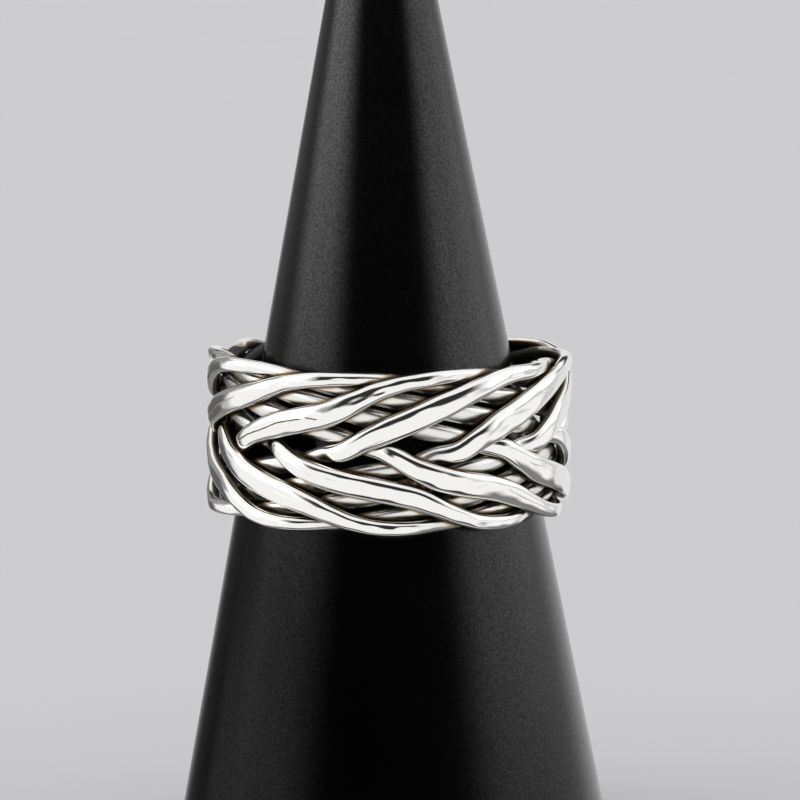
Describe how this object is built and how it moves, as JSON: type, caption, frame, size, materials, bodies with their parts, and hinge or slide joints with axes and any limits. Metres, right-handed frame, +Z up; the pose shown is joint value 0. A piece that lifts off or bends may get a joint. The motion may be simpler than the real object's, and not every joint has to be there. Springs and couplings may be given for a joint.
{
  "type": "silver band ring on a display cone",
  "caption": "Woven silver wire band ring seated on a plain black tapered display cone with a rounded tip and a flat base.",
  "frame": {"origin": "centre of the display cone's flat base", "axes": "+Z up along the cone's axis, towards its rounded tip; the ring's front, as in the picture, faces -Y"},
  "size_m": [0.0288, 0.0288, 0.0619],
  "materials": {
    "silver": "polished sterling silver, oxidised in the recesses",
    "cone": "satin black"
  },
  "bodies": {
    "root": {"strand_01": "silver", "strand_02": "silver", "strand_03": "silver", "strand_04": "silver", "strand_05": "silver", "strand_06": "silver", "strand_07": "silver", "strand_08": "silver", "strand_09": "silver", "strand_10": "silver", "strand_11": "silver", "display_cone": "cone"}
  },
  "joints": []
}
